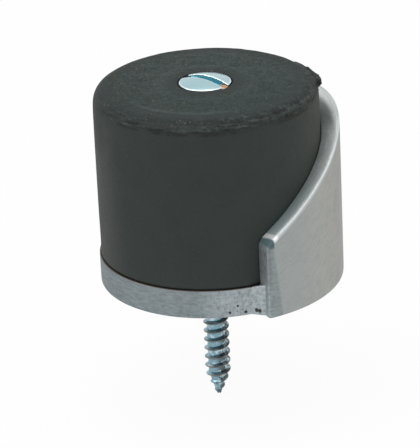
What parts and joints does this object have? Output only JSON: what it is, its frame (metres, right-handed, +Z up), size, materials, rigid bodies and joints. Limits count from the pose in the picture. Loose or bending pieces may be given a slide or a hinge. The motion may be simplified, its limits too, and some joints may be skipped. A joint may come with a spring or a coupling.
{
  "type": "door stop",
  "caption": "Floor door stop: a round rubber buffer in a half-open cast holder with a slant-cut wall, fixed down by a slotted tapping screw.",
  "frame": {"origin": "middle of the holder's underside, on the screw's axis, where the holder meets the floor", "axes": "+Z up along the screw, towards its head; +Y towards the middle of the holder's wall; -Y towards the open front that the door meets"},
  "size_m": [0.0354, 0.033, 0.0467],
  "materials": {
    "cast_aluminium": "brushed wall, filed rim",
    "black_rubber": "matt moulded",
    "washer_steel": "plain",
    "zinc_steel": "bright blue zinc"
  },
  "bodies": {
    "holder": {"holder": "cast_aluminium"},
    "buffer": {"rubber_buffer": "black_rubber", "seat_washer": "washer_steel"},
    "screw": {"fixing_screw": "zinc_steel"}
  },
  "joints": [
    {"name": "buffer_lift", "type": "slide", "parent": "holder", "child": "buffer", "axis": [0, 0, 1], "range_m": [0, 0.03]},
    {"name": "screw_turn", "type": "hinge", "parent": "buffer", "child": "screw", "pos_m": [0, 0, 0.0276], "axis": [0, 0, 1], "continuous": true}
  ]
}
